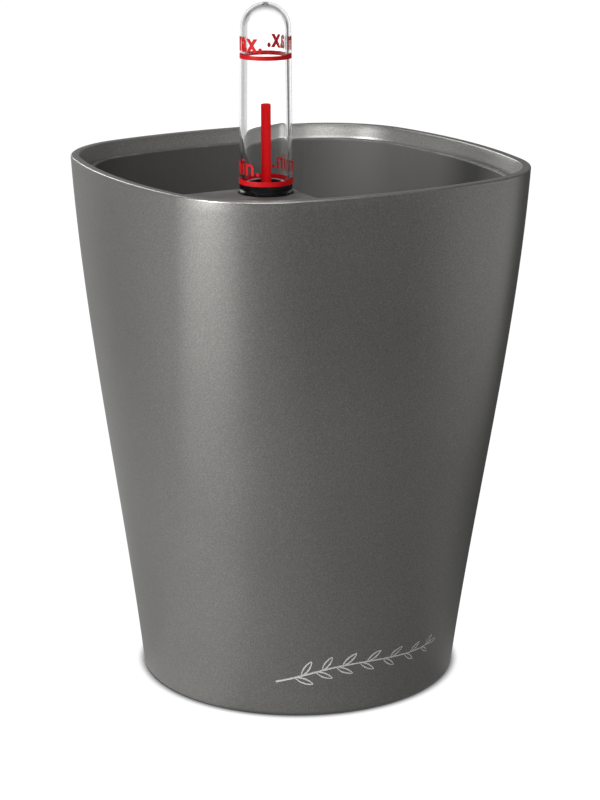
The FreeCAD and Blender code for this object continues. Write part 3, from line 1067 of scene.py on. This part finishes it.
@dataclass
class Gauge:
    """Level gauge: clear tube, guide plug, printed scale, housing, float and rod."""

    x: float = -0.019445
    tube_radius: float = 0.0063
    tube_wall: float = 0.00105
    tube_draft: float = 0.0110
    tube_bottom: float = 0.1246
    tube_top: float = 0.17075
    dimple_radius: float = 0.0008
    dimple_depth: float = 0.0006
    max_mark: float = 0.15857
    min_mark: float = 0.12957
    plug_depth: float = 0.012
    ridge_top: float = 0.12887
    ridge_height: float = 0.0014
    ridge_bite: float = 0.00004
    bead_width: float = 0.0011
    bead_height: float = 0.00045
    cup_depth: float = 0.0012
    print_gap: float = 0.00002
    ring_thickness: float = 0.00006
    word_proud: float = 0.00007
    float_edge: float = 0.0008
    float_play: float = 0.0005
    collar_radius: float = 0.0026
    collar_edge: float = 0.0002
    collar_height: float = 0.001
    rod_tip: float = 0.00028
    housing_bore: float = 0.005
    rod_radius: float = 0.00115
    rod_bore: float = 0.00145
    float_bottom: float = 0.0269
    float_height: float = 0.016
    rod_into_float: float = 0.014
    level_now: float = 0.0179

    @property
    def axis(self) -> Vector:
        """A point on the gauge's axis."""
        return Vector((self.x, self.x, 0.0))

    def outer(self, z: float) -> float:
        """Returns the tube's outer radius at a height."""
        return self.tube_radius - self.tube_draft * (z - self.tube_bottom)

    def build(self, finishes: FinishSet) -> None:
        """Builds and dresses every piece of the gauge."""
        self.build_tube(finishes)
        self.build_plug(finishes)
        self.build_marks(finishes)
        self.build_float(finishes)
        dress_node("float_housing", finishes.housing)
        dress_node("housing_foot", finishes.housing)

    def build_tube(self, finishes: FinishSet) -> None:
        """Builds the clear tube with its dome and gate dimple."""
        dome = self.outer(self.tube_top) / (1.0 - self.tube_draft)
        shoulder = self.tube_top - dome
        side = [self.tube_bottom + (shoulder - self.tube_bottom) * step / 24 for step in range(25)]
        rim = 0.0002
        profile = [(self.outer(self.tube_bottom) - self.tube_wall + rim, self.tube_bottom),
                   (self.outer(self.tube_bottom) - rim, self.tube_bottom),
                   (self.outer(self.tube_bottom) - rim * 0.3, self.tube_bottom + rim * 0.3)]
        profile += [(self.outer(z), z) for z in (max(z, self.tube_bottom + rim) for z in side)]
        first = math.degrees(math.acos(self.dimple_radius / dome))
        profile += rounded((0.0, shoulder), dome, 0.0, first, 32)[1:]
        edge = profile[-1]
        profile += [(edge[0] * 0.85, edge[1] - self.dimple_depth * 0.12),
                    (edge[0] * 0.35, edge[1] - self.dimple_depth * 0.85),
                    (0.0, edge[1] - self.dimple_depth)]
        inner = dome - self.tube_wall
        profile += [(0.0, shoulder + inner)] + rounded((0.0, shoulder), inner, 90.0, 0.0, 32)[1:]
        profile += [(self.outer(z) - self.tube_wall, z)
                    for z in (max(z, self.tube_bottom + rim) for z in reversed(side[:-1]))]
        bm = turned(profile, self.axis, 144, closed=True)
        axis_edges = [edge for edge in bm.edges if not edge.link_faces]
        bmesh.ops.delete(bm, geom=axis_edges, context="EDGES")
        finish_piece("clear_tube", bm, finishes.clear, Body.GAUGE, ("sight_tube",))

    def build_plug(self, finishes: FinishSet) -> None:
        """Builds the guide plug with its gripping ridge and beaded cup."""
        in_housing = self.housing_bore - 0.00005
        in_tube = self.outer(self.ridge_top) - self.tube_wall - 0.00015
        ridge = self.outer(self.ridge_top) - self.tube_wall + self.ridge_bite
        foot = self.tube_bottom - self.plug_depth
        low = self.ridge_top - self.ridge_height
        half_bead = self.bead_width / 2.0
        cup = in_tube - self.bead_width
        cup_floor = self.ridge_top - self.cup_depth
        profile = [(self.rod_bore, foot), (in_housing - 0.0005, foot)]
        profile += rounded((in_housing - 0.0005, foot + 0.0005), 0.0005, -90.0, 0.0)[1:]
        profile += [(in_housing, self.tube_bottom), (in_tube, self.tube_bottom), (in_tube, low)]
        profile += rounded((ridge - 0.0001, low + 0.0001), 0.0001, -90.0, 0.0, 3)
        profile += rounded((ridge - 0.0001, self.ridge_top - 0.0001), 0.0001, 0.0, 90.0, 3)
        profile += [(in_tube, self.ridge_top)]
        profile += [(in_tube - half_bead * (1.0 - math.cos(a)),
                     self.ridge_top + self.bead_height * math.sin(a))
                    for a in (math.pi * step / 12 for step in range(1, 12))]
        profile += [(cup, self.ridge_top), (cup, cup_floor + 0.0002), (cup - 0.0002, cup_floor),
                    (self.rod_bore + 0.0002, cup_floor), (self.rod_bore, cup_floor - 0.0002)]
        bm = turned(profile, self.axis, 96)
        finish_piece("plug", bm, finishes.black, Body.GAUGE, ("guide_plug",))

    def build_marks(self, finishes: FinishSet) -> None:
        """Builds both printed rings and the words over them."""
        for name, node, z, width, word in (("max_ring", "max_mark", self.max_mark, 0.00100, Word.MAX),
                                           ("min_ring", "min_mark", self.min_mark, 0.00115, Word.MIN)):
            low, high = z - width / 2.0, z + width / 2.0
            inside = [(self.outer(end) + self.print_gap, end) for end in (low, high)]
            outside = [(radius + self.ring_thickness, end) for radius, end in reversed(inside)]
            bm = turned(inside + outside, self.axis, 144)
            finish_piece(name, bm, finishes.ink, Body.GAUGE, (node,))
            for count in range(2):
                self.print_word(word, high, count, f"{name}_word_{count + 1}", finishes)

    def print_word(self, word: Word, ring_top: float, count: int, name: str, finishes: FinishSet) -> None:
        """Prints a word round the tube.

        Args:
            word: what it says.
            ring_top: height of the ring's upper edge.
            count: 0 for the front copy, 1 for the one behind.
            name: the piece's name.
            finishes: all finishes.
        """
        setting = LETTERINGS[word]
        end = math.radians(setting.end + count * setting.turn)
        foot = ring_top + setting.lift
        curve = bpy.data.curves.new(name, type="FONT")
        curve.body = word.value
        curve.size = setting.size
        curve.align_x = "RIGHT"
        curve.space_character = setting.spacing
        curve.offset = setting.weight
        curve.resolution_u = 6
        text = bpy.data.objects.new(name, curve)
        bpy.context.scene.collection.objects.link(text)
        mesh = bpy.data.meshes.new_from_object(text.evaluated_get(bpy.context.evaluated_depsgraph_get()))
        bpy.data.objects.remove(text)
        bm = bmesh.new()
        bm.from_mesh(mesh)
        bpy.data.meshes.remove(mesh)
        bmesh.ops.remove_doubles(bm, verts=bm.verts, dist=1e-7)
        left = min(vert.co.x for vert in bm.verts)
        cuts = 56
        for cut in range(1, cuts):
            geom = list(bm.verts) + list(bm.edges) + list(bm.faces)
            bmesh.ops.bisect_plane(bm, geom=geom, plane_co=(left * cut / cuts, 0.0, 0.0),
                                   plane_no=(1.0, 0.0, 0.0))
        raised = raise_print(bm)
        for vert in bm.verts:
            radius = self.outer(foot) + (self.word_proud if vert in raised else self.print_gap)
            angle = end + vert.co.x / self.outer(foot)
            vert.co = self.axis + Vector((radius * math.cos(angle), radius * math.sin(angle),
                                          foot + vert.co.y * setting.stretch))
        finish_piece(name, bm, finishes.ink, Body.GAUGE, sharp_above=60.0, turn_out=False)

    def build_float(self, finishes: FinishSet) -> None:
        """Builds the foam float and the red rod on it."""
        radius, edge = self.housing_bore - self.float_play, self.float_edge
        low, high = self.float_bottom, self.float_bottom + self.float_height
        seat = high - self.rod_into_float
        profile = [(0.0, low), (radius - edge, low)]
        profile += rounded((radius - edge, low + edge), edge, -90.0, 0.0)[1:]
        profile += rounded((radius - edge, high - edge), edge, 0.0, 90.0)
        profile += [(self.rod_radius, high), (self.rod_radius, seat), (0.0, seat)]
        finish_piece("foam_float", turned(profile, self.axis, 72, closed=False), finishes.foam, Body.FLOAT,
                     ("level_float",))
        tip = self.rod_tip
        flat = self.collar_radius - self.collar_edge
        collar_top = high + self.collar_height
        profile = [(0.0, seat), (self.rod_radius, seat), (self.rod_radius, high), (flat, high),
                   (self.collar_radius, high + self.collar_edge),
                   (self.collar_radius, collar_top - self.collar_edge), (flat, collar_top),
                   (self.rod_radius, collar_top)]
        profile += rounded((self.rod_radius - tip, self.min_mark + self.level_now - tip), tip, 0.0, 90.0)
        profile += [(0.0, self.min_mark + self.level_now)]
        finish_piece("rod", turned(profile, self.axis, 48, closed=False), finishes.rod, Body.FLOAT,
                     ("float_rod",))


# ------------------------------------------------------------------ studio


@dataclass(frozen=True)
class SoftBox:
    """Rectangular studio light that faces the planter."""

    name: str
    azimuth: float
    elevation: float
    width: float
    height: float
    power: float
    distance: float = 1.2
    aim: float = 0.07
    passes_tube: bool = False

    def build(self) -> None:
        """Hangs the light and points it at the planter; the clear tube does not mirror it."""
        lamp = bpy.data.lights.new(self.name, type="AREA")
        lamp.shape = "RECTANGLE"
        lamp.size = self.width
        lamp.size_y = self.height
        lamp.energy = self.power
        hung = bpy.data.objects.new(self.name, lamp)
        a, e = math.radians(self.azimuth), math.radians(self.elevation)
        way = Vector((math.cos(a) * math.cos(e), math.sin(a) * math.cos(e), math.sin(e)))
        hung.location = Vector((0.0, 0.0, self.aim)) + way * self.distance
        hung.rotation_euler = way.to_track_quat("Z", "Y").to_euler()
        hung.visible_camera = False
        bpy.context.scene.collection.objects.link(hung)
        spared = bpy.data.collections.new(f"{self.name}_spares")
        spared.objects.link(bpy.data.objects["clear_tube"])
        spared.collection_objects[0].light_linking.link_state = "EXCLUDE"
        hung.light_linking.receiver_collection = spared
        if self.passes_tube:
            hung.light_linking.blocker_collection = spared


@dataclass(frozen=True)
class Glow:
    """Side of the room where the floor throws back more light than elsewhere, or less if negative."""

    azimuth: float
    near: float
    far: float
    spread: float = 34.0


@dataclass(frozen=True)
class Veil:
    """Pale wall that glossy and clear pieces see, or a stretch of it dimmed to a level."""

    azimuth: float
    spread: float
    level: float


@dataclass
class Studio:
    """Pale floor, soft lights, a white backdrop and the camera."""

    surround: float = 0.22
    ceiling: float = 0.04
    floor_near: float = 0.23
    floor_far: float = 0.05
    glows: tuple[Glow, ...] = (Glow(150.0, 0.15, 0.05, 75.0), Glow(187.0, 0.13, 1.15), Glow(84.0, 0.20, 0.34),
                               Glow(335.0, 0.09, 0.80, 29.0), Glow(14.0, -0.15, 0.0, 46.0),
                               Glow(58.0, 0.02, 0.20, 30.0), Glow(258.0, 0.0, -0.05, 40.0))
    boxes: tuple[SoftBox, ...] = (
        SoftBox("low_left", 189.0, 18.0, 0.30, 0.70, 24.0),
        SoftBox("front_soft", 247.0, 34.0, 1.00, 0.50, 11.5, passes_tube=True),
        SoftBox("top_soft", 80.0, 82.0, 0.80, 0.80, 6.0),
        SoftBox("back_left", 92.0, 30.0, 0.45, 0.50, 4.5, passes_tube=True))
    backdrop: Veil = Veil(60.46, 22.0, 1.35)
    side_wall: Veil = Veil(79.0, 56.0, 0.60)
    backdrop_gloss: float = 0.13
    shades: tuple[Veil, ...] = (Veil(101.0, 30.0, 0.42), Veil(24.0, 22.0, 0.48), Veil(17.0, 11.0, 0.22))
    overhead: float = 0.30
    white: float = 1.3
    wall_rise: tuple[float, float] = (0.02, 0.45)
    ceiling_rise: tuple[float, float] = (0.45, 0.85)
    floor_reach: tuple[float, float] = (0.12, 0.40)
    floor_white: float = 1.14
    floor_polish: float = 0.10
    painted_shadow_reach: float = 0.0025
    painted_contact_shadow: float = 0.06
    camera_place: tuple[float, float, float] = (-0.2726, -0.4822, 0.2265)
    camera_down: float = 15.91
    camera_turn: float = -29.54
    lens: float = 102.9

    def build(self) -> None:
        """Sets up floor, surround, lights and camera."""
        scene = bpy.context.scene
        scene.view_settings.view_transform = "Standard"
        self.build_floor()
        self.build_surround(scene)
        for box in self.boxes:
            box.build()
        eye = bpy.data.cameras.new("eye")
        eye.lens = self.lens
        eye.sensor_width = 36.0
        eye.clip_start = 0.01
        eye.clip_end = 50.0
        holder = bpy.data.objects.new("eye", eye)
        holder.location = self.camera_place
        holder.rotation_euler = (math.radians(90.0 - self.camera_down), 0.0, math.radians(self.camera_turn))
        scene.collection.objects.link(holder)
        scene.camera = holder

    def toward(self, shader: Shader, way: bpy.types.NodeSocket, azimuth: float,
               spread: float) -> bpy.types.NodeSocket:
        """Makes a soft mask round one direction.

        Args:
            shader: nodes to add to.
            way: unit direction from the planter.
            azimuth: middle of the mask in degrees.
            spread: angle from the middle at which the mask has faded, in degrees.

        Returns:
            1 in the middle and 0 outside.
        """
        dot = shader.add("ShaderNodeVectorMath", operation="DOT_PRODUCT")
        shader.link(way, dot.inputs[0])
        a = math.radians(azimuth)
        dot.inputs[1].default_value = (math.cos(a), math.sin(a), 0.0)
        return shader.spread(dot.outputs["Value"], math.cos(math.radians(spread)),
                             math.cos(math.radians(spread * 0.55)))

    def pale_walls(self, shader: Shader, way: bpy.types.NodeSocket) -> bpy.types.NodeSocket:
        """Gives the brightness of the pale walls behind the planter.

        Args:
            shader: nodes to add to.
            way: unit direction from the planter.

        Returns:
            The brightness, full through clear plastic and weaker in reflections.
        """
        seen = shader.add("ShaderNodeLightPath").outputs
        clear = shader.spread(shader.upward(way), *self.wall_rise, self.backdrop.level,
                              self.backdrop.level * self.overhead)
        for shade in self.shades:
            mask = self.toward(shader, way, shade.azimuth, shade.spread)
            dim = shader.math("MULTIPLY", mask, 1.0 - shade.level)
            clear = shader.math("MULTIPLY", clear, shader.math("SUBTRACT", 1.0, dim))
        through = shader.math("MULTIPLY", clear, seen["Is Transmission Ray"])
        walls = [shader.math("MULTIPLY", self.toward(shader, way, veil.azimuth, veil.spread), veil.level)
                 for veil in (self.backdrop, self.side_wall)]
        mirrored = shader.math("MULTIPLY", shader.math("MAXIMUM", *walls),
                               shader.math("MULTIPLY", seen["Is Glossy Ray"], self.backdrop_gloss))
        return shader.math("MAXIMUM", through, mirrored)

    def floor_level(self, shader: Shader) -> bpy.types.NodeSocket:
        """Gives the brightness that the floor sends to the planter.

        Args:
            shader: nodes to add to.

        Returns:
            The brightness.
        """
        place = shader.object_place()
        unit = shader.add("ShaderNodeVectorMath", operation="NORMALIZE")
        shader.link(place, unit.inputs[0])
        way = unit.outputs["Vector"]
        length = shader.add("ShaderNodeVectorMath", operation="LENGTH")
        shader.link(place, length.inputs[0])
        away = length.outputs["Value"]
        level = shader.spread(away, *self.floor_reach, self.floor_near, self.floor_far)
        for glow in self.glows:
            zone = shader.spread(away, *self.floor_reach, glow.near, glow.far)
            lit = shader.math("MULTIPLY", self.toward(shader, way, glow.azimuth, glow.spread), zone)
            level = shader.math("ADD", lit, level)
        return shader.math("MAXIMUM", level, self.pale_walls(shader, way))

    def build_floor(self) -> None:
        """Lays a pale floor with a faint polish and a painted contact shadow, a soft dark line where
        something stands on it.
        """
        bm = bmesh.new()
        bmesh.ops.create_grid(bm, x_segments=8, y_segments=8, size=6.0)
        mesh = bpy.data.meshes.new("floor")
        bm.to_mesh(mesh)
        bm.free()
        material = bpy.data.materials.new("pale_floor")
        material.use_nodes = True
        shader = Shader(material.node_tree)
        material.node_tree.nodes.clear()
        # Ambient occlusion darkens the floor's glow near the planter: a painted contact shadow.
        near = shader.add("ShaderNodeAmbientOcclusion", samples=8)
        near.inputs["Distance"].default_value = self.painted_shadow_reach
        white = shader.add("ShaderNodeEmission")
        shader.link(shader.spread(near.outputs["AO"], 0.25, 1.0, self.painted_contact_shadow, self.floor_white),
                    white.inputs["Strength"])
        dull = shader.add("ShaderNodeEmission")
        shader.link(self.floor_level(shader), dull.inputs["Strength"])
        polish = shader.add("ShaderNodeBsdfGlossy")
        polish.inputs["Roughness"].default_value = 0.12
        sheen = shader.add("ShaderNodeMixShader")
        sheen.inputs["Fac"].default_value = self.floor_polish
        shader.link(white.outputs[0], sheen.inputs[1])
        shader.link(polish.outputs[0], sheen.inputs[2])
        seen = shader.add("ShaderNodeLightPath")
        pick = shader.add("ShaderNodeMixShader")
        shader.link(seen.outputs["Is Camera Ray"], pick.inputs["Fac"])
        shader.link(dull.outputs[0], pick.inputs[1])
        shader.link(sheen.outputs[0], pick.inputs[2])
        out = shader.add("ShaderNodeOutputMaterial")
        shader.link(pick.outputs[0], out.inputs["Surface"])
        mesh.materials.append(material)
        floor = bpy.data.objects.new("floor", mesh)
        bpy.context.scene.collection.objects.link(floor)

    def build_surround(self, scene: bpy.types.Scene) -> None:
        """Gives the room a white backdrop and a soft grey surround."""
        world = bpy.data.worlds.new("room")
        world.use_nodes = True
        shader = Shader(world.node_tree)
        world.node_tree.nodes.clear()
        way = shader.add("ShaderNodeTexCoord").outputs["Generated"]
        room = shader.spread(shader.upward(way), *self.ceiling_rise, self.surround, self.ceiling)
        level = shader.math("MAXIMUM", room, self.pale_walls(shader, way))
        seen = shader.add("ShaderNodeLightPath")
        light = shader.add("ShaderNodeBackground")
        light.inputs["Color"].default_value = (0.8, 0.8, 0.8, 1.0)
        white = shader.math("MULTIPLY", seen.outputs["Is Camera Ray"], self.white)
        shader.link(shader.math("MAXIMUM", level, white), light.inputs["Strength"])
        out = shader.add("ShaderNodeOutputWorld")
        shader.link(light.outputs[0], out.inputs["Surface"])
        scene.world = world


def main() -> None:
    """Builds the planter and the studio."""
    logging.basicConfig(level=logging.INFO, format="%(name)s %(message)s")
    finishes = make_finishes()
    form = PotForm()
    Planter(form).build(finishes)
    Sprig(form).build(finishes)
    Liner().build(finishes)
    Gauge().build(finishes)
    Studio().build()


if __name__ == "__main__":
    main()
